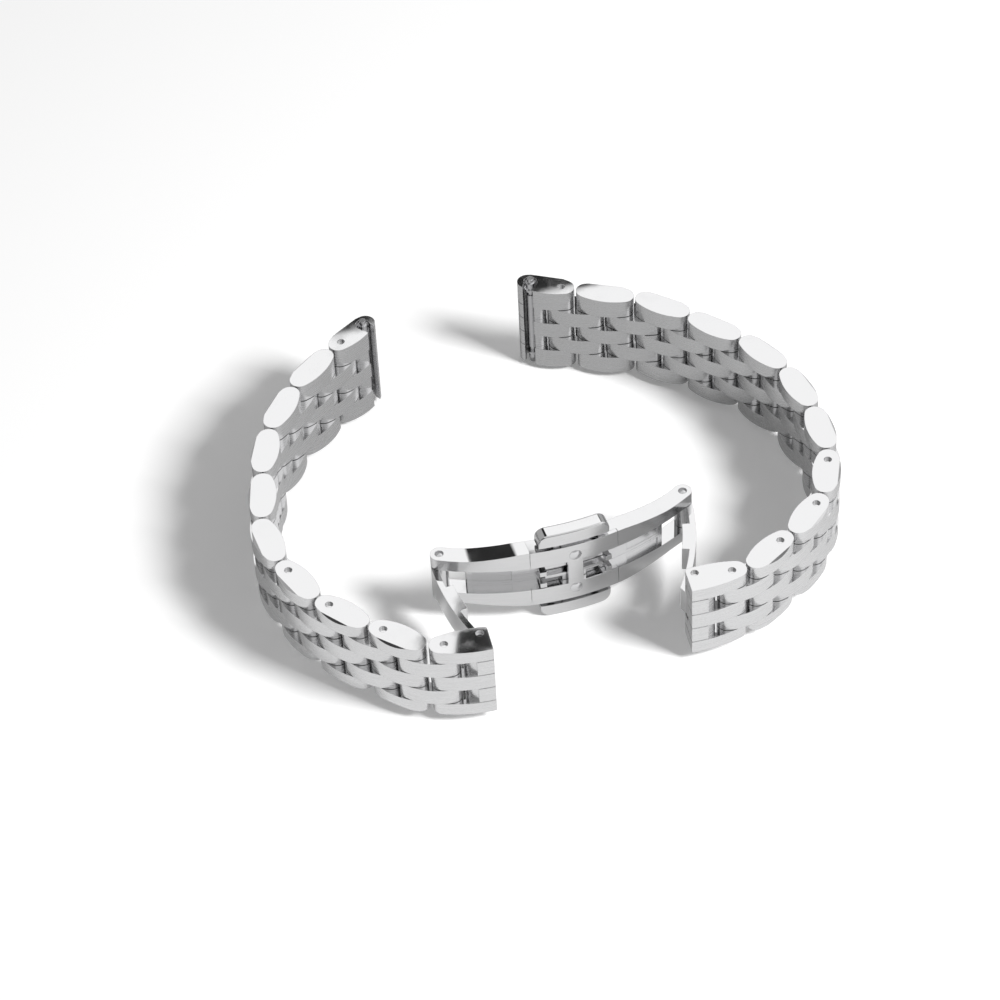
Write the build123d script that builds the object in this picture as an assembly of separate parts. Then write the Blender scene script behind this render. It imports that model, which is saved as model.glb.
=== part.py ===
from build123d import *
import math
import os

# A link watch bracelet, lying open on its edge. Millimetres, Z along the hinge pins.
# Five columns of oval plates: columns 1, 3 and 5 make an outer link, 2 and 4 an inner link.
# A link's own frame: X from the clasp to the watch, Y towards the wrist, Z along the pins,
# origin midway between its two pins.

# Oval plates
link_length = 7.0
link_thick = 3.25
link_end_radius = 1.22
outer_pin_span = 3.65
inner_pin_span = 3.55
column_pitch = 2.16
lug_width = 12.0
clasp_width = 9.9
taper_power = 3
side_clearance = 0.06
edge_bevel = 0.25
bevel_angle = 45

# Hinge pins of the links
link_pin_radius = 0.45
link_pin_clearance = 0.06
hidden_pin_cover = 0.5
shown_pin_recess = 0.35

# Lug end links
lug_bore_span = 3.8
lug_bore_radius = 0.85
lug_slot_width = 1.35
pocket_clearance = 0.15
groove_width = 0.12
groove_depth = 0.12
groove_start = 1.2

# Spring bars
bar_radius = 0.56
bar_bore_radius = 0.45
bar_half_length = 4.15
tip_radius = 0.4
tip_stand_out = 0.6
tip_travel = 0.65
tip_inner_end = 2.5
flange_radius = 0.74
flange_thick = 0.25
flange_gap = 0.05
bar_spring_gap = 0.05

# Coil springs
coil_radius = 0.34
coil_wire_radius = 0.08
bar_spring_pitch = 0.45
button_spring_pitch = 0.37

# Clasp end links
end_link_span = 4.15
end_link_thick = 3.6
end_link_overhang = 0.95
end_link_slant = 0.5
end_link_full_length = 10.2
end_link_nose = 1.3
end_link_tilt = 12.5
end_corner_radius = 0.35
stub_setback = 2.0
cavity_clearance = 0.1

# Clasp frame, a curved bar with a channel in its outer side
frame_radius = 30.0
frame_thick = 2.1
frame_half_span = 14.5
frame_half_width = 4.15
frame_end_half_width = 3.3
flare_start = 6.0
flare_end = 12.0
flare_blend = 12.0
channel_half_width = 1.72
channel_floor = 0.5
window_start = 11.7
panel_start = 7.0
panel_end = 11.3
panel_half_width = 1.4
panel_depth = 0.12

# Cover plate and its rivets
cover_half_length = 5.0
cover_thick = 0.5
cover_bar_half = 0.85
seam = 0.05
rivet_place = 2.6
rivet_radius = 0.72
rivet_shank_radius = 0.35
rivet_dome = 0.22
rivet_depth = 1.8

# Blades: a curved body that fills the channel when shut, and a thinner neck up to the eye
blade_half_width = 1.65
knuckle_radius = 0.95
eye_radius = 0.88
blade_hinge_radius = 0.5
blade_hinge_clearance = 0.06
blade_hinge_dome = 0.2
strip_thick = 0.68
strip_end = 0.3
body_start = 11.2
body_end = 7.4
body_clearance = 0.06
web_width = 1.3
closed_gap = 0.1
end_gap = 0.16
blade_pin_depth = 1.0
window_setback = 2.6
window_length = 1.5
window_half_width = 1.05

# Push buttons with their latches
button_half_length = 4.2
button_height = 1.7
button_gap = 0.5
button_travel = 0.45
button_thick = 1.75
button_corner = 1.2
button_edge = 0.2
stem_half_length = 1.4
stem_thick = 0.8
stem_clearance = 0.06
arm_half_width = 0.225
arm_place = 0.775
finger_length = 0.7
finger_lip = 0.2
finger_lip_height = 0.3
finger_clearance = 0.06
spring_bore_radius = 0.5
spring_bore_depth = 1.5
spring_place = 2.7
spring_offset = 0.25

overrun = 1.0

# Posture. Angles in degrees, bends from the clasp to the watch, towards the wrist positive.
clasp_x = 6.85
clasp_y = -5.7
clasp_turn = 15.8
left_blade_open = 89.3
right_blade_open = 75.0
left_end_link_turn = 198.6
right_end_link_turn = 1.5
left_bends = (31, 20, -1, 7, 8, 9, 7, 9, 15, 4, 0, 7, 7, 9, 5, 9, 4, 2)
right_bends = (25, 19, -1, 11, 12, 12, 10, 10, 4, 8, 8, 10, 9, 5, 0, 6, 13, 4, -2, -1)
removable_links = 3

# Places that follow from the sizes above
column_gap = side_clearance / 2
inner_low = column_pitch / 2 + column_gap
inner_high = column_pitch * 3 / 2 - column_gap
outer_low = column_pitch * 3 / 2 + column_gap
centre_half = column_pitch / 2 - column_gap
arc_height = math.sqrt(frame_radius**2 - frame_half_span**2)
frame_half_thick = frame_thick / 2
floor_radius = frame_radius - frame_half_thick + channel_floor
cover_seat_radius = frame_radius + frame_half_thick - cover_thick
outer_radius = frame_radius + frame_half_thick
closed_pin_radius = outer_radius + closed_gap + blade_pin_depth
closed_pin_place = end_link_overhang + end_gap
closed_pin_height = math.sqrt(closed_pin_radius**2 - closed_pin_place**2) - arc_height
closed_reach = frame_half_span - closed_pin_place
blade_length = math.hypot(closed_reach, closed_pin_height)
closed_blade_angle = math.degrees(math.atan2(closed_pin_height, closed_reach))
closed_centre_angle = closed_blade_angle + math.degrees(math.atan2(arc_height, frame_half_span))
finger_place = closed_pin_place + window_setback
finger_top_radius = outer_radius + finger_clearance + finger_lip_height


def on_polar(radius, angle):
    """The point at a radius and an angle in degrees."""
    return (radius * math.cos(math.radians(angle)), radius * math.sin(math.radians(angle)))


def stepped(start, distance, angle):
    """The point at a distance from start, in a direction in degrees."""
    dx, dy = on_polar(distance, angle)
    return (start[0] + dx, start[1] + dy)


def slab(face, low, high):
    """A plan face made solid between two heights."""
    return Pos(0, 0, low) * extrude(face, high - low)


def block(x0, x1, y0, y1, z0, z1):
    """A box between its corners."""
    middle = Pos((x0 + x1) / 2, (y0 + y1) / 2, (z0 + z1) / 2)
    return middle * Box(x1 - x0, y1 - y0, z1 - z0)


def rod(radius, low, high, x=0, y=0):
    """A round bar along Z."""
    return Pos(x, y, (low + high) / 2) * Cylinder(radius, high - low)


def both_sides(shape):
    """A shape and its mirror image in the middle plane."""
    return [shape, mirror(shape, about=Plane.XY)]


def oval(length, thick, end_radius):
    """Plan of a plate: two flat arcs for the sides, joined by two round ends."""
    reach = length / 2 - end_radius
    side = (reach**2 + (thick / 2) ** 2 - end_radius**2) / (thick - 2 * end_radius)
    drop = side - thick / 2
    tangent = math.degrees(math.atan2(drop, reach))
    x, y = on_polar(side, tangent)
    y = y - drop
    top = ThreePointArc((-x, y), (0, thick / 2), (x, y))
    right = ThreePointArc((x, y), (length / 2, 0), (x, -y))
    low = ThreePointArc((x, -y), (0, -thick / 2), (-x, -y))
    left = ThreePointArc((-x, -y), (-length / 2, 0), (-x, y))
    return make_face([top, right, low, left])


def plate_face():
    """Plan of a strap plate."""
    return oval(link_length, link_thick, link_end_radius)


def half_width(share):
    """Half the strap's width, at a share of the way from the clasp to the watch."""
    share = min(max(share, 0), 1)
    return (clasp_width + (lug_width - clasp_width) * share**taper_power) / 2


def sloped_top(solid, near, far):
    """Cut a link's top to a slope, from its clasp end to its watch end."""
    rise = Plane(
        origin=(0, 0, (near + far) / 2),
        x_dir=(link_length, 0, far - near),
        z_dir=(near - far, 0, link_length),
    )
    return split(solid, bisect_by=rise, keep=Keep.BOTTOM)


def outward_bevel(solid, height):
    """Cut the flat bevel along a plate's outward edge, a crescent on the curved side."""
    across = math.sin(math.radians(bevel_angle))
    up = math.cos(math.radians(bevel_angle))
    cut = Plane(
        origin=(0, edge_bevel - link_thick / 2, height),
        x_dir=(1, 0, 0),
        z_dir=(0, -across, up),
    )
    return split(solid, bisect_by=cut, keep=Keep.BOTTOM)


def outer_plate(near, far):
    """The upper side plate of an outer link, without its pin holes."""
    tallest = max(near, far) + overrun
    plate = slab(plate_face(), outer_low, tallest)
    return outward_bevel(sloped_top(plate, near, far), (near + far) / 2)


def link_pin(x, top):
    """A hinge pin of the strap, as long on both sides of the middle."""
    return rod(link_pin_radius, -top, top, x)


def outer_link(share, share_step, removable):
    """Three plates and two pins. A removable link shows the pin at its watch end."""
    near = half_width(share - share_step / 2)
    far = half_width(share + share_step / 2)
    clasp_pin = link_pin(-outer_pin_span / 2, min(near, far) - hidden_pin_cover)
    recess = shown_pin_recess if removable else hidden_pin_cover
    watch_pin = link_pin(outer_pin_span / 2, min(near, far) - recess)
    hole = watch_pin
    if removable:
        hole = rod(link_pin_radius, 0, far + overrun, outer_pin_span / 2)
    side = outer_plate(near, far) - clasp_pin - hole
    centre = slab(plate_face(), -centre_half, centre_half) - clasp_pin - watch_pin
    return both_sides(side) + [centre, clasp_pin, watch_pin]


def inner_link():
    """Two plates that turn on the pins of the outer links beside them."""
    plate = slab(plate_face(), inner_low, inner_high)
    for x in (-inner_pin_span / 2, inner_pin_span / 2):
        plate -= rod(link_pin_radius + link_pin_clearance, 0, outer_low, x)
    return both_sides(plate)


def inner_columns(face):
    """The room of columns 2 and 4 over a plan face, with their side clearance."""
    low = inner_low - side_clearance
    high = inner_high + side_clearance
    return both_sides(slab(face, low, high))


def column_grooves(outline, core, keep):
    """Shallow grooves that carry the column lines round an end link."""
    ring = (outline - core) & keep
    grooves = []
    for height in (column_pitch / 2, column_pitch * 3 / 2):
        grooves += both_sides(slab(ring, height - groove_width / 2, height + groove_width / 2))
    return grooves


def lug_link(share_step):
    """The piece beside the watch: a slotted tube, and three fingers on the strap's last pin."""
    near = half_width(1 - share_step / 2)
    pin_x = -lug_bore_span / 2
    bore_x = lug_bore_span / 2
    solid = slab(plate_face(), 0, lug_width / 2 + overrun)
    solid = outward_bevel(sloped_top(solid, near, lug_width / 2), (near + lug_width / 2) / 2)
    solid = solid + mirror(solid, about=Plane.XY)
    stub_end = pin_x + (link_length - inner_pin_span) / 2 + pocket_clearance
    room_end = (stub_end + link_length / 2) / 2
    room = Pos(room_end - link_length, 0) * Rectangle(2 * link_length, 2 * link_thick)
    for pocket in inner_columns(room - Pos(stub_end + link_length / 2, 0) * plate_face()):
        solid -= pocket
    solid -= rod(lug_bore_radius, -lug_width, lug_width, bore_x)
    half_slot = lug_slot_width / 2
    solid -= block(bore_x - half_slot, bore_x + half_slot, 0, link_thick, -lug_width, lug_width)
    core = oval(link_length - 2 * groove_depth, link_thick - 2 * groove_depth, link_end_radius - groove_depth)
    keep = Pos(groove_start + link_length / 2, 0) * Rectangle(link_length, 2 * link_thick)
    for groove in column_grooves(plate_face(), core, keep):
        solid -= groove
    pin = link_pin(pin_x, near - shown_pin_recess)
    solid -= rod(link_pin_radius, -lug_width, lug_width, pin_x)
    return [solid, pin]


def end_link_outline(inset):
    """Plan of a clasp end link: a longer oval about the strap's pin, leaning away from the wrist
    towards its free end, which is cut off square just past the blade's pin."""
    overhang = (link_length - outer_pin_span) / 2
    whole = oval(end_link_full_length - 2 * inset, end_link_thick - 2 * inset, end_link_nose - inset)
    lean = Location((end_link_span / 2, 0, 0), (0, 0, end_link_tilt))
    face = lean * Pos(overhang - end_link_full_length / 2, 0) * whole
    end = -end_link_span / 2 - end_link_overhang + inset
    slant = end_link_slant / end_link_thick * end_link_full_length
    low = (end + slant, -end_link_full_length)
    high = (end - slant, end_link_full_length)
    far = end - end_link_full_length
    outside = Polyline((far, -end_link_full_length), low, high, (far, end_link_full_length), close=True)
    return face - make_face(outside)


def blade_cavity():
    """The slot of a clasp end link in which the blade's eye swings, and a recess for the latch."""
    reach = eye_radius + cavity_clearance
    web_side = 2 * eye_radius + cavity_clearance
    far = end_link_full_length
    swing = Pos((web_side - far) / 2, far / 2) * Rectangle(web_side + far, far)
    behind = Pos(-far / 2, 0) * Rectangle(far, 2 * reach)
    recess_end = window_setback + finger_length / 2 + 2 * cavity_clearance
    depth = blade_pin_depth - finger_lip_height - 2 * cavity_clearance
    recess = Pos(recess_end / 2, depth + far / 2) * Rectangle(recess_end, far)
    half = blade_half_width + cavity_clearance
    return Pos(-end_link_span / 2, 0) * slab(Circle(reach) + swing + behind + recess, -half, half)


def clasp_end_link():
    """The piece at the clasp: strap fingers at one end, the blade's slot at the other."""
    top = clasp_width / 2
    outline = end_link_outline(0)
    solid = slab(outline, -top, top)
    free_end = solid.edges().filter_by(Axis.Z).group_by(Axis.X)[0]
    solid = fillet(free_end, end_corner_radius)
    lean = Location((end_link_span / 2, 0, 0), (0, 0, end_link_tilt))
    full = end_link_full_length
    stub = lean * Pos(-stub_setback - full / 2, 0) * oval(full, end_link_thick + overrun, end_link_nose)
    room = lean * Pos(full / 2 - stub_setback - end_link_nose, 0) * Rectangle(full, 2 * end_link_thick) - stub
    for pocket in inner_columns(room):
        solid -= pocket
    keep = lean * Pos(-stub_setback - full / 2, 0) * Rectangle(full, 2 * end_link_thick)
    for groove in column_grooves(outline, end_link_outline(groove_depth), keep):
        solid -= groove
    solid -= blade_cavity()
    pins = []
    for x in (-end_link_span / 2, end_link_span / 2):
        solid -= rod(link_pin_radius, -clasp_width, clasp_width, x)
        pins.append(link_pin(x, top - shown_pin_recess))
    return [solid] + pins


def arc_band(centre, inner, outer, first, last):
    """Plan of a stretch of a ring about a centre, between two angles."""
    middle = (first + last) / 2
    outside = ThreePointArc([stepped(centre, outer, angle) for angle in (first, middle, last)])
    inside = ThreePointArc([stepped(centre, inner, angle) for angle in (last, middle, first)])
    return make_face([outside, Line(outside @ 1, inside @ 0), inside, Line(inside @ 1, outside @ 0)])


def ring_sector(inner, outer, half_angle):
    """Plan of part of the clasp's curve, between two radii, about the middle of the curve."""
    return arc_band((0, -arc_height), inner, outer, 90 + half_angle, 90 - half_angle)


def angle_at(place):
    """Angle along the clasp's curve of a place beside its middle."""
    return math.degrees(math.asin(place / frame_radius))


def band(inner, outer, start, end):
    """Plan of two like stretches of the clasp's curve, one on each side of its middle."""
    whole = ring_sector(inner, outer, angle_at(end))
    return whole - ring_sector(inner - overrun, outer + overrun, angle_at(start))


def flare_outline():
    """Front view of the clasp frame, wide in the middle and narrow at its hinges."""
    far = frame_half_span + frame_thick
    points = [
        (-far, frame_end_half_width), (-flare_end, frame_end_half_width),
        (-flare_start, frame_half_width), (flare_start, frame_half_width),
        (flare_end, frame_end_half_width), (far, frame_end_half_width),
    ]
    mirrored = [(x, -z) for x, z in reversed(points)]
    face = make_face(Polyline(*points, *mirrored, close=True))
    bends = [v for v in face.vertices() if abs(v.X) < far - overrun]
    return fillet(bends, flare_blend)


def clasp_frame():
    """The curved bar: two rails, a floor between them, and the seats of what it carries."""
    inner = frame_radius - frame_half_thick
    outer = outer_radius
    plan = ring_sector(inner, outer, angle_at(frame_half_span))
    for x in (-frame_half_span, frame_half_span):
        plan += Pos(x, 0) * Circle(frame_half_thick)
    solid = slab(plan, -frame_half_width, frame_half_width)
    height = frame_radius + overrun
    solid &= Plane.XZ.offset(-height) * extrude(flare_outline(), 2 * height)
    half = channel_half_width
    far = frame_half_span + frame_thick
    channel = ring_sector(floor_radius, outer + overrun, angle_at(window_start + overrun))
    solid -= slab(channel, -half, half)
    for side in (-1, 1):
        solid -= block(
            min(side * window_start, side * far), max(side * window_start, side * far),
            -frame_radius, frame_radius, -half, half,
        )
    seat = ring_sector(cover_seat_radius, outer + overrun, angle_at(cover_half_length + seam))
    solid -= slab(seat, -frame_half_width, frame_half_width)
    panel = band(floor_radius - panel_depth, floor_radius + overrun, panel_start, panel_end)
    solid -= slab(panel, -panel_half_width, panel_half_width)
    for x in (-frame_half_span, frame_half_span):
        solid -= rod(blade_hinge_radius, -frame_half_width, frame_half_width, x)
    stem_room = stem_plan(stem_clearance)
    solid -= slab(stem_room, -frame_half_width - overrun, frame_half_width + overrun)
    bore_low = frame_half_width - spring_bore_depth
    for hole in spring_rods(spring_bore_radius, bore_low, frame_half_width + overrun):
        solid -= hole
    for shank in rivet_shanks():
        solid -= shank
    return solid


def outward(radius):
    """The middle of the clasp's curve at a radius, with Z pointing away from the wrist."""
    return Location((0, radius - arc_height, 0), (-90, 0, 0))


def rivet_shanks():
    """The rivets' shanks, through the cover into the rails."""
    seat = outward(outer_radius)
    shanks = []
    for z in (-rivet_place, rivet_place):
        shank = Cylinder(rivet_shank_radius, rivet_depth)
        shanks.append(Pos(0, 0, z) * seat * Pos(0, 0, -rivet_depth / 2) * shank)
    return shanks


def cover_rivets():
    """Two domed rivets that hold the cover plate."""
    ball = (rivet_radius**2 + rivet_dome**2) / (2 * rivet_dome)
    heads = []
    for z, shank in zip((-rivet_place, rivet_place), rivet_shanks()):
        dome = Pos(0, 0, rivet_dome - ball) * Sphere(ball)
        dome &= Pos(0, 0, rivet_dome / 2) * Cylinder(rivet_radius, rivet_dome)
        heads.append(Pos(0, 0, z) * outward(outer_radius) * dome + shank)
    return heads


def cover_plate():
    """The H-shaped plate over the latches, flush with the rails."""
    outer = outer_radius
    plan = ring_sector(cover_seat_radius, outer, angle_at(cover_half_length))
    plate = slab(plan, -frame_half_width, frame_half_width)
    notch = band(cover_seat_radius - overrun, outer + overrun, cover_bar_half, cover_half_length + overrun)
    plate -= slab(notch, -channel_half_width, channel_half_width)
    for shank in rivet_shanks():
        plate -= shank
    return plate


def blade_hinge_pins():
    """The two pins on which the blades swing, with domed ends as high as the rails' sides."""
    end = frame_end_half_width - blade_hinge_dome
    ball = (blade_hinge_radius**2 + blade_hinge_dome**2) / (2 * blade_hinge_dome)
    pins = []
    for x in (-frame_half_span, frame_half_span):
        cap = Pos(x, 0, frame_end_half_width - ball) * Sphere(ball)
        cap &= rod(blade_hinge_radius, end, frame_end_half_width, x)
        pins.append(rod(blade_hinge_radius, -end, end, x) + cap + mirror(cap, about=Plane.XY))
    return pins


def blade_angle(place):
    """Direction from the centre of the clasp's curve to a place on a shut blade, in its own frame."""
    return closed_centre_angle + 180 + angle_at(frame_half_span) - angle_at(place)


def blade_band(inner, outer, near, far):
    """Plan of a stretch of a shut blade, in its own frame, between two places from the middle."""
    centre = on_polar(frame_radius, closed_centre_angle)
    return arc_band(centre, inner, outer, blade_angle(far), blade_angle(near))


def bar_between(start, end, width):
    """Plan of a straight bar between two points."""
    middle = ((start[0] + end[0]) / 2, (start[1] + end[1]) / 2)
    turn = math.degrees(math.atan2(end[1] - start[1], end[0] - start[0]))
    return Location((*middle, 0), (0, 0, turn)) * Rectangle(math.dist(start, end), width)


def blade():
    """A blade: hinge pin at the origin, its eye along X, Y towards the frame's floor when shut."""
    half = blade_half_width
    strip_inner = outer_radius - strip_thick
    strip = blade_band(strip_inner, outer_radius, closed_pin_place + strip_end, frame_half_span)
    body = blade_band(floor_radius + body_clearance, outer_radius, body_end, body_start)
    centre = on_polar(frame_radius, closed_centre_angle)
    foot = stepped(centre, outer_radius - strip_thick / 2, blade_angle(closed_pin_place + eye_radius))
    web = bar_between((blade_length, 0), foot, web_width)
    face = strip + body + web + Circle(knuckle_radius) + Pos(blade_length, 0) * Circle(eye_radius)
    solid = slab(face, -half, half)
    solid -= rod(blade_hinge_radius + blade_hinge_clearance, -half, half)
    solid -= rod(link_pin_radius + link_pin_clearance, -half, half, blade_length)
    window = blade_band(
        strip_inner - overrun, outer_radius + overrun,
        finger_place - window_length / 2, finger_place + window_length / 2,
    )
    return solid - slab(window, -window_half_width, window_half_width)


def button_front():
    """Front view of the upper push button, with its two far corners well rounded."""
    low = frame_half_width + button_gap
    face = Pos(0, low + button_height / 2) * Rectangle(2 * button_half_length, button_height)
    return fillet(face.vertices().group_by(Axis.Y)[-1], button_corner)


def stem_plan(grow):
    """Plan of a button's stem, which passes through the rail."""
    inner = floor_radius + stem_clearance - grow
    return ring_sector(inner, inner + stem_thick + 2 * grow, angle_at(stem_half_length + grow))


def button():
    """The upper push button, a bar on the clasp's curve with soft edges."""
    plan = ring_sector(outer_radius - button_thick, outer_radius, angle_at(button_half_length + overrun))
    height = frame_half_width + button_gap + button_height
    cap = slab(plan, 0, height)
    cap &= Plane.XZ.offset(-frame_radius) * extrude(button_front(), 2 * frame_radius)
    rim = cap.edges().filter_by(lambda e: (e @ 0.5).Z > height - button_corner)
    rim = rim.filter_by(Axis.Y, reverse=True)
    return fillet(rim, button_edge)


def spring_rods(radius, low, high):
    """Round bars at the places of the four button springs."""
    rods = []
    for x in (-spring_place, spring_place):
        point = stepped((0, -arc_height), frame_radius - spring_offset, 90 - angle_at(x))
        rods += both_sides(rod(radius, low, high, *point))
    return rods


def guide_slot():
    """The slot of a latch stem in which a rivet's shank runs."""
    radius = rivet_shank_radius + finger_clearance
    ends = [Pos(0, rivet_place) * Circle(radius), Pos(0, rivet_place + button_travel) * Circle(radius)]
    middle = Pos(0, rivet_place + button_travel / 2) * Rectangle(2 * radius, button_travel)
    return Plane.XZ.offset(-frame_radius) * extrude(ends[0] + ends[1] + middle, 2 * frame_radius)


def latch():
    """The upper latch: a stem through the rail, an arm, and a hooked finger for each blade."""
    low = arm_place - arm_half_width
    high = arm_place + arm_half_width
    stem = slab(stem_plan(0), low, frame_half_width + button_gap) - guide_slot()
    inner = floor_radius + stem_clearance
    near = finger_place - finger_length / 2
    far = finger_place + finger_length / 2
    arm = slab(ring_sector(inner, inner + stem_thick, angle_at(far)), low, high)
    fingers = slab(band(inner + stem_thick / 2, finger_top_radius, near, far), low, high)
    lip_plan = band(finger_top_radius - finger_lip_height, finger_top_radius, near, far)
    return stem + arm + fingers + slab(lip_plan, low, high + finger_lip)


def coil(low, high, pitch):
    """A coil spring along Z."""
    path = Helix(pitch=pitch, height=high - low - 2 * coil_wire_radius, radius=coil_radius)
    start = path @ 0
    section = Plane(origin=start, z_dir=path % 0) * Circle(coil_wire_radius)
    return Pos(0, 0, low + coil_wire_radius) * sweep(section, path=path)


def button_springs():
    """The four return springs, in their bores in the rails."""
    low = frame_half_width - spring_bore_depth
    spring = coil(low, frame_half_width, button_spring_pitch)
    springs = []
    for x in (-spring_place, spring_place):
        point = stepped((0, -arc_height), frame_radius - spring_offset, 90 - angle_at(x))
        springs += both_sides(Pos(*point, 0) * spring)
    return springs


def spring_bar():
    """The hollow barrel of a spring bar, about its own middle."""
    tube = rod(bar_radius, -bar_half_length, bar_half_length)
    return tube - rod(bar_bore_radius, -bar_half_length, bar_half_length)


def bar_spring():
    """The spring inside a spring bar, between the two tips when both are pushed in."""
    reach = tip_inner_end - tip_travel - bar_spring_gap
    return coil(-reach, reach, bar_spring_pitch)


def bar_tip():
    """The upper tip of a spring bar: its shaft, a flange, a shoulder up to the lug and a pivot."""
    flange = bar_half_length + flange_gap + tip_travel
    shoulder = lug_width / 2
    tip = rod(tip_radius, tip_inner_end, shoulder + tip_stand_out)
    tip += rod(bar_radius, flange, shoulder)
    return tip + rod(flange_radius, flange, flange + flange_thick)


def clasp_place():
    """Where the clasp's own frame lies."""
    turned_over = Location((0, 0, 0), (180, 0, 0))
    return Location((clasp_x, clasp_y, 0), (0, 0, clasp_turn)) * turned_over


def blade_start(side):
    """A blade's hinge and direction, for side -1 on the left and 1 on the right."""
    hinge = stepped((clasp_x, clasp_y), side * frame_half_span, clasp_turn)
    if side < 0:
        return hinge, clasp_turn - left_blade_open
    return hinge, clasp_turn + 180 + right_blade_open


def strap_stations(side):
    """The pins and headings of a strap's links, from the clasp to the watch."""
    hinge, heading = blade_start(side)
    pin = stepped(hinge, blade_length, heading)
    bends = left_bends if side < 0 else right_bends
    heading = left_end_link_turn if side < 0 else right_end_link_turn
    stations = [(pin, heading, end_link_span)]
    for index, bend in enumerate(bends):
        pin = stepped(pin, stations[-1][2], heading)
        heading += side * bend
        span = inner_pin_span if index % 2 == 0 else outer_pin_span
        if index == len(bends) - 1:
            span = lug_bore_span
        stations.append((pin, heading, span))
    return stations


def laid(shapes, middle, heading, flip):
    """Shapes placed in the bracelet. A flip turns them over about their own X axis."""
    place = Location((*middle, 0), (0, 0, heading))
    if flip:
        place = place * Location((0, 0, 0), (180, 0, 0))
    return [place * shape for shape in shapes]


def strap(side, name):
    """All links of one strap, and the spring bar at its end, by node name."""
    stations = strap_stations(side)
    count = (len(stations) + 1) // 2
    step = 1 / (count - 1)
    inner = inner_link()
    nodes = {}
    for index, (pin, heading, span) in enumerate(stations):
        number = index // 2
        if index == 0:
            shapes, label = clasp_end_link(), "clasp_end_link"
        elif index == len(stations) - 1:
            shapes, label = lug_link(step), "lug_link"
        elif index % 2 == 1:
            shapes, label = inner, f"inner_link_{number + 1:02d}"
        else:
            shapes = outer_link(number * step, step, number <= removable_links)
            label = f"outer_link_{number:02d}"
        middle = stepped(pin, span / 2, heading)
        nodes[f"{name}_{label}"] = laid(shapes, middle, heading, side < 0)
    bore = stepped(stations[-1][0], lug_bore_span, stations[-1][1])
    nodes[f"{name}_spring_bar"] = laid([spring_bar()], bore, 0, False)
    nodes[f"{name}_bar_spring"] = laid([bar_spring()], bore, 0, False)
    nodes[f"{name}_bar_tip_upper"] = laid([bar_tip()], bore, 0, False)
    nodes[f"{name}_bar_tip_lower"] = laid([bar_tip()], bore, 0, True)
    return nodes


def clasp():
    """The clasp's pieces, by node name."""
    place = clasp_place()
    shapes = {
        "clasp_frame": [clasp_frame()],
        "clasp_cover": [cover_plate()],
        "cover_rivets": cover_rivets(),
        "blade_hinge_pins": blade_hinge_pins(),
        "button_lower": [button()],
        "button_upper": [mirror(button(), about=Plane.XY)],
        "latch_lower": [latch()],
        "latch_upper": [mirror(latch(), about=Plane.XY)],
        "button_springs": button_springs(),
    }
    nodes = {}
    for name, solids in shapes.items():
        nodes[name] = [place * solid for solid in solids]
    for side, name in ((-1, "left_blade"), (1, "right_blade")):
        hinge, heading = blade_start(side)
        nodes[name] = laid([blade()], hinge, heading, side > 0)
    return nodes


def rest_plane():
    """The plane that the bracelet stands on: both lower bar tips and the lower button."""
    low = -lug_width / 2 - tip_stand_out
    tips = []
    for side in (-1, 1):
        pin, heading, span = strap_stations(side)[-1]
        tips.append(Vector(*stepped(pin, span, heading), low))
    turn = clasp_turn - 90
    front = stepped((clasp_x, clasp_y), frame_radius + frame_half_thick - arc_height, turn)
    button_low = Vector(*front, -frame_half_width - button_gap - button_height)
    up = (tips[1] - button_low).cross(tips[0] - button_low).normalized()
    return Plane(origin=button_low, x_dir=(1, 0, 0), z_dir=up)


def assembly():
    """Every node, standing on the ground with its box centred, and the place that does this."""
    nodes = clasp() | strap(-1, "left") | strap(1, "right")
    level = rest_plane().location.inverse()
    nodes = {name: [level * solid for solid in solids] for name, solids in nodes.items()}
    bounds = Compound(children=[Compound(children=solids) for solids in nodes.values()]).bounding_box()
    middle = bounds.center()
    shift = Pos(-middle.X, -middle.Y, -bounds.min.Z)
    return {name: [shift * solid for solid in solids] for name, solids in nodes.items()}, shift * level


if __name__ == "__main__":
    os.makedirs("parts", exist_ok=True)
    nodes, place = assembly()
    for name, solids in nodes.items():
        export_step(Compound(children=solids), f"parts/{name}.step")
    print(len(nodes), "nodes, placed at", place)
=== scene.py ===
import math

import bpy
from mathutils import Matrix, Vector

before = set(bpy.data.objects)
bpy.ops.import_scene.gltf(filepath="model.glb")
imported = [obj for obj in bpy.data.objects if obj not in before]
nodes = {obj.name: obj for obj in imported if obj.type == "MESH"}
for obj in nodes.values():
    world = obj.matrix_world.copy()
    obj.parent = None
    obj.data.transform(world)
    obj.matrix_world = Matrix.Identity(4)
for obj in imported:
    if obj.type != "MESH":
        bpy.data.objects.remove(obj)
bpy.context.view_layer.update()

# Camera, in metres: where it stands, what it looks along, and how far it is rolled
camera_place = Vector((-0.004822, -0.276554, 0.27509))
camera_direction = Vector((-0.00121, 0.71468, -0.69945))
camera_roll = math.radians(3.28)
camera_lens = 120.2
camera_sensor = 36.0
camera_nearest = 0.01
camera_farthest = 20

# Metals: colour, roughness where polished and where brushed, and how far edges are softened
steel_colour = (0.74, 0.74, 0.745)
pin_colour = (0.7, 0.7, 0.71)
spring_colour = (0.6, 0.6, 0.62)
polished_roughness = 0.03
link_roughness = 0.27
clasp_roughness = 0.2
pin_roughness = 0.12
spring_roughness = 0.22
plate_edge = 0.00005
pin_edge = 0.00003
spring_edge = 0.00001

# A side is polished where its normal's height passes these, and it is slightly domed
polished_facing = (0.5, 0.62)
polished_dome = 0.013
smudge_scale = 420
smudge_detail = 3
smudge_fade = (0.45, 0.75)
smudge_roughness = 0.05

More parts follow.
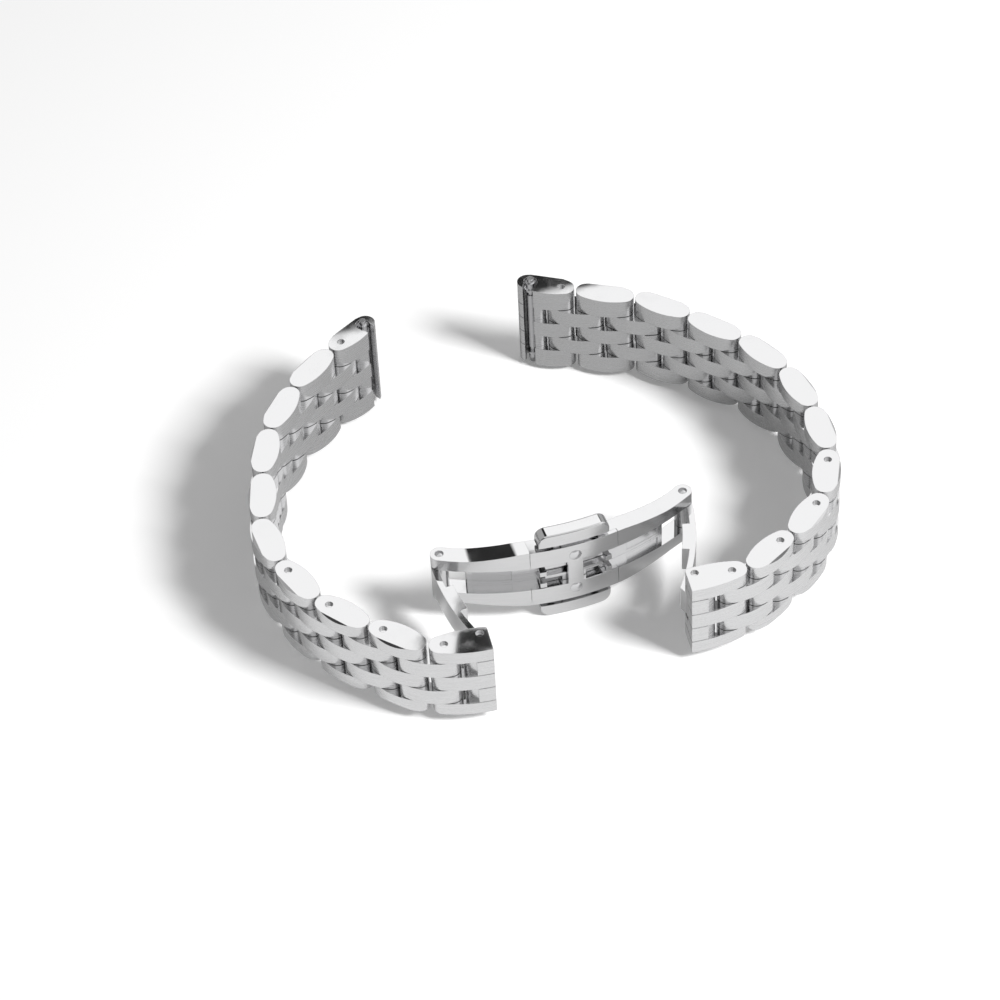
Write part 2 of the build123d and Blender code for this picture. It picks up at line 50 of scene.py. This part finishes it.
# Brushing: fine lines along the strap
brush_stretch = (0.02, 0.02, 1.0)
brush_scale = 14000
brush_detail = 3
brush_grain = 0.65
brush_roughness_swing = 0.15
brush_fade = (0.3, 0.7)
brush_shade = (0.93, 1.03)
brush_strength = 0.12
brush_depth = 0.000003

# Floor: its colour in its own light, and in the steel in front of the bracelet and behind it, where the
# darker tone is painted shade for the bracelet's shadow
white = (1, 1, 1, 1)
floor_size = 3.0
floor_drop = 0.00002
floor_colour = (0.62, 0.62, 0.62, 1)
floor_in_front = (0.66, 0.66, 0.66, 1)
floor_painted_shade_behind = (0.38, 0.38, 0.38, 1)
floor_change = (-0.03, 0.02)
floor_lift = 0.1
mirrored_lift = 0.3

# Lamp
key_power = 4.2
key_place = Vector((0.39, -0.22, 0.42))
key_size = 0.16

# The room that the steel reflects. Bounds are parts of a direction of length 1, and each pair
# says where a fade starts and where it ends.
ambient_level = 0.3
bright_level = 1.2
band_behind = (-0.1, 0.2)
band_left_end = (-0.17, -0.14)
band_low_edge = (0.678, 0.684)
band_high_edge = (0.728, 0.723)
band_turn = 0.037
band_slope_left = -0.1
band_slope_right = -0.45
notch_middle = -0.004
notch_half_width = 0.01
notch_side = 0.01
notch_slope = 9.0
front_start = (0.0, -0.3)
back_edge = (0.635, 0.65)
back_levels = (0.45, 0.03)
left_edge = (-0.45, -0.3)
front_levels = (0.06, 0.24)
panel_low_edge = (0.5, 0.62)
panel_left_end = (-0.4, -0.25)
panel_level = 0.7
horizon_edge = (0.08, 0.3)
horizon_level = 0.6
overhead_edge = (0.755, 0.775)
overhead_level = 0.8
window_direction = (0.68, -0.38, 0.63)
window_edge = (0.9, 0.98)


def add_camera():
    """The camera at the photograph's place and angle."""
    camera = bpy.data.objects.new("camera", bpy.data.cameras.new("camera"))
    bpy.context.scene.collection.objects.link(camera)
    camera.data.lens = camera_lens
    camera.data.sensor_width = camera_sensor
    camera.data.clip_start = camera_nearest
    camera.data.clip_end = camera_farthest
    forward = camera_direction.normalized()
    right = forward.cross(Vector((0, 0, 1))).normalized()
    up = right.cross(forward)
    rolled_right = right * math.cos(camera_roll) - up * math.sin(camera_roll)
    rolled_up = up * math.cos(camera_roll) + right * math.sin(camera_roll)
    turn = Matrix((rolled_right, rolled_up, -forward)).transposed()
    camera.matrix_world = Matrix.Translation(camera_place) @ turn.to_4x4()
    bpy.context.scene.camera = camera


class Graph:
    """A short way to build a node tree."""

    def __init__(self, owner):
        owner.use_nodes = True
        self.tree = owner.node_tree
        self.tree.nodes.clear()

    def node(self, kind, inputs=None, **settings):
        made = self.tree.nodes.new(kind)
        for name, value in settings.items():
            setattr(made, name, value)
        for name, value in (inputs or {}).items():
            self.join(value, made.inputs[name])
        return made

    def join(self, value, socket):
        if isinstance(value, bpy.types.NodeSocket):
            self.tree.links.new(value, socket)
        else:
            socket.default_value = value

    def math(self, operation, first, second=0.0):
        made = self.node("ShaderNodeMath", {0: first, 1: second}, operation=operation)
        return made.outputs[0]

    def vector(self, operation, first, second=(0.0, 0.0, 0.0)):
        made = self.node("ShaderNodeVectorMath", {0: first, 1: second}, operation=operation)
        return made.outputs[0]

    def scaled(self, vector, factor):
        made = self.node("ShaderNodeVectorMath", {0: vector}, operation="SCALE")
        self.join(factor, made.inputs["Scale"])
        return made.outputs[0]

    def span(self, value, ends, levels=(0.0, 1.0), kind="LINEAR"):
        made = self.node(
            "ShaderNodeMapRange",
            {
                "Value": value, "From Min": ends[0], "From Max": ends[1],
                "To Min": levels[0], "To Max": levels[1],
            },
            interpolation_type=kind,
        )
        return made.outputs["Result"]

    def fade(self, value, ends, levels=(0.0, 1.0)):
        return self.span(value, ends, levels, "SMOOTHSTEP")

    def mix(self, share, first, second):
        made = self.node("ShaderNodeMix", {0: share, 2: first, 3: second}, data_type="FLOAT")
        return made.outputs[0]

    def mix_colour(self, share, first, second):
        made = self.node("ShaderNodeMix", {0: share, 6: first, 7: second}, data_type="RGBA")
        return made.outputs[2]

    def noise(self, place, scale, detail, roughness=0.5):
        made = self.node(
            "ShaderNodeTexNoise",
            {"Vector": place, "Scale": scale, "Detail": detail, "Roughness": roughness},
        )
        return made.outputs["Fac"]


def domed(g, normal, spot, polished):
    """The normal of a polished side that curves off slightly towards the piece's ends."""
    offset = g.vector("SUBTRACT", spot, (0.5, 0.5, 0.5))
    lean = g.vector("MULTIPLY", offset, (polished_dome, polished_dome, 0.0))
    turned = g.node(
        "ShaderNodeVectorTransform", {"Vector": lean},
        vector_type="VECTOR", convert_from="OBJECT", convert_to="WORLD",
    )
    share = g.scaled(turned.outputs[0], polished)
    return g.vector("NORMALIZE", g.vector("ADD", normal, share))


def steel(name, colour, shiny_roughness, brushed_roughness, edge, brushed_sides):
    """Steel whose flat sides are polished and whose other faces are brushed along the strap."""
    made = bpy.data.materials.new(name)
    g = Graph(made)
    place = g.node("ShaderNodeTexCoord")
    spot = place.outputs["Object"]
    facing = g.node("ShaderNodeSeparateXYZ", {0: place.outputs["Normal"]}).outputs["Z"]
    flat = g.span(g.math("ABSOLUTE", facing), polished_facing)
    polished = flat if brushed_sides else 1.0
    lines = g.noise(g.vector("MULTIPLY", spot, brush_stretch), brush_scale, brush_detail, brush_grain)
    smudge = g.noise(spot, smudge_scale, smudge_detail)
    swing = g.math("MULTIPLY", g.math("SUBTRACT", lines, 0.5), brush_roughness_swing)
    brushed = g.math("ADD", brushed_roughness, swing)
    shiny = g.math("ADD", shiny_roughness, g.span(smudge, smudge_fade, (0, smudge_roughness)))
    roughness = g.mix(polished, brushed, shiny)
    height = g.mix(polished, lines, 0.5)
    shade = g.mix(polished, g.span(lines, brush_fade, brush_shade), 1.0)
    toned = g.scaled(colour, shade)
    normal = g.node("ShaderNodeBevel", {"Radius": edge}, samples=4).outputs[0]
    if brushed_sides:
        normal = domed(g, normal, place.outputs["Generated"], polished)
    bump = g.node(
        "ShaderNodeBump",
        {"Strength": brush_strength, "Distance": brush_depth, "Height": height, "Normal": normal},
    )
    shader = g.node("ShaderNodeBsdfPrincipled", {
        "Base Color": toned, "Metallic": 1.0, "Roughness": roughness, "Normal": bump.outputs[0],
    })
    g.node("ShaderNodeOutputMaterial", {"Surface": shader.outputs[0]})
    return made


def dress(node, material):
    """Give a node one material."""
    slots = nodes[node].material_slots
    if not slots:
        nodes[node].data.materials.append(material)
    for slot in slots:
        slot.link = "DATA"
        slot.material = material


def dress_all():
    """Links and clasp in brushed steel with polished sides, pins and springs in plain bright metal."""
    link = steel("link_steel", steel_colour, polished_roughness, link_roughness, plate_edge, True)
    clasp = steel("clasp_steel", steel_colour, polished_roughness, clasp_roughness, plate_edge, True)
    turned = steel("turned_steel", pin_colour, pin_roughness, pin_roughness, pin_edge, False)
    wire = steel("spring_wire", spring_colour, spring_roughness, spring_roughness, spring_edge, False)
    for name in nodes:
        if name.endswith("_spring") or name == "button_springs":
            dress(name, wire)
        elif "bar" in name or "pins" in name or "rivets" in name:
            dress(name, turned)
        elif "link" in name:
            dress(name, link)
        else:
            dress(name, clasp)


def floor_material():
    """White for the camera and pale for the light that it gives back to the bracelet, with painted shade
    behind the bracelet in what the steel reflects.
    """
    made = bpy.data.materials.new("floor")
    g = Graph(made)
    rays = g.node("ShaderNodeLightPath")
    spot = g.node("ShaderNodeTexCoord").outputs["Object"]
    across = g.node("ShaderNodeSeparateXYZ", {0: spot}).outputs["Y"]
    # Painted shade: the floor that the steel reflects is darker behind the bracelet than in front of it
    mirrored_with_painted_shade = g.mix_colour(g.fade(across, floor_change), floor_in_front, floor_painted_shade_behind)
    tone = g.mix_colour(rays.outputs["Is Glossy Ray"], floor_colour, mirrored_with_painted_shade)
    tone = g.mix_colour(rays.outputs["Is Camera Ray"], tone, white)
    base = g.node("ShaderNodeBsdfDiffuse", {"Color": tone})
    strength = g.math("MULTIPLY", rays.outputs["Is Glossy Ray"], mirrored_lift)
    strength = g.mix(rays.outputs["Is Camera Ray"], strength, floor_lift)
    # The glow that the steel sees in the floor carries the same painted shade behind the bracelet
    lift = g.node("ShaderNodeEmission", {"Color": tone, "Strength": strength})
    both = g.node("ShaderNodeAddShader", {0: base.outputs[0], 1: lift.outputs[0]})
    g.node("ShaderNodeOutputMaterial", {"Surface": both.outputs[0]})
    return made


def add_floor():
    """The floor, just under the bracelet."""
    mesh = bpy.data.meshes.new("floor")
    far = floor_size
    corners = [(-far, -far, 0), (far, -far, 0), (far, far, 0), (-far, far, 0)]
    mesh.from_pydata(corners, [], [(0, 1, 2, 3)])
    floor = bpy.data.objects.new("floor", mesh)
    bpy.context.scene.collection.objects.link(floor)
    floor.location.z = -floor_drop
    mesh.materials.append(floor_material())


def bright_band(g, x, y, z, height):
    """A bright band high behind the bracelet, with a notch in its upper edge."""
    band = g.fade(height, band_low_edge)
    beside = g.math("SUBTRACT", g.math("ABSOLUTE", g.math("SUBTRACT", x, notch_middle)), notch_half_width)
    rise = g.math("MINIMUM", g.math("MAXIMUM", beside, 0.0), notch_side)
    rise = g.math("MULTIPLY", rise, notch_slope)
    band = g.math("MULTIPLY", band, g.fade(g.math("SUBTRACT", z, rise), band_high_edge))
    band = g.math("MULTIPLY", band, g.fade(y, band_behind))
    return g.math("MULTIPLY", band, g.fade(x, band_left_end))


def room_level(g, x, y, z, height):
    """The rest of the room: dark under the band and at the left, a panel in front and one overhead."""
    behind = g.fade(height, back_edge, back_levels)
    ahead = g.fade(x, left_edge, front_levels)
    panel = g.math("MULTIPLY", g.fade(z, panel_low_edge), g.fade(x, panel_left_end))
    ahead = g.mix(panel, ahead, panel_level)
    ahead = g.mix(g.fade(z, horizon_edge), horizon_level, ahead)
    level = g.mix(g.fade(y, front_start), behind, ahead)
    return g.mix(g.fade(z, overhead_edge), level, overhead_level)


def add_world():
    """A white room for the camera, and one of bright and dark panels for the steel."""
    world = bpy.data.worlds.new("studio")
    bpy.context.scene.world = world
    g = Graph(world)
    rays = g.node("ShaderNodeLightPath")
    way = g.node("ShaderNodeTexCoord").outputs["Generated"]
    axes = g.node("ShaderNodeSeparateXYZ", {0: way})
    x, y, z = axes.outputs["X"], axes.outputs["Y"], axes.outputs["Z"]
    aside = g.math("SUBTRACT", x, band_turn)
    right_lean = g.math("MULTIPLY", aside, band_slope_right)
    left_lean = g.math("MULTIPLY", aside, band_slope_left)
    height = g.math("SUBTRACT", z, g.math("MINIMUM", right_lean, left_lean))
    level = room_level(g, x, y, z, height)
    towards = g.node("ShaderNodeVectorMath", {0: way, 1: window_direction}, operation="DOT_PRODUCT")
    level = g.mix(g.fade(towards.outputs["Value"], window_edge), level, bright_level)
    level = g.mix(bright_band(g, x, y, z, height), level, bright_level)
    shown = g.mix(rays.outputs["Is Glossy Ray"], ambient_level, level)
    shown = g.mix(rays.outputs["Is Camera Ray"], shown, 1.0)
    light = g.node("ShaderNodeBackground", {"Color": white, "Strength": shown})
    g.node("ShaderNodeOutputWorld", {"Surface": light.outputs[0]})


def add_key():
    """A soft square lamp at the front right. The steel sees the room's panels in its place."""
    data = bpy.data.lights.new("key", "AREA")
    data.shape = "RECTANGLE"
    data.size = key_size
    data.size_y = key_size
    data.energy = key_power
    light = bpy.data.objects.new("key", data)
    light.visible_glossy = False
    bpy.context.scene.collection.objects.link(light)
    light.location = key_place
    light.rotation_euler = (-key_place).to_track_quat("-Z", "Y").to_euler()


bpy.context.scene.view_settings.view_transform = "Standard"
add_camera()
dress_all()
add_floor()
add_world()
add_key()
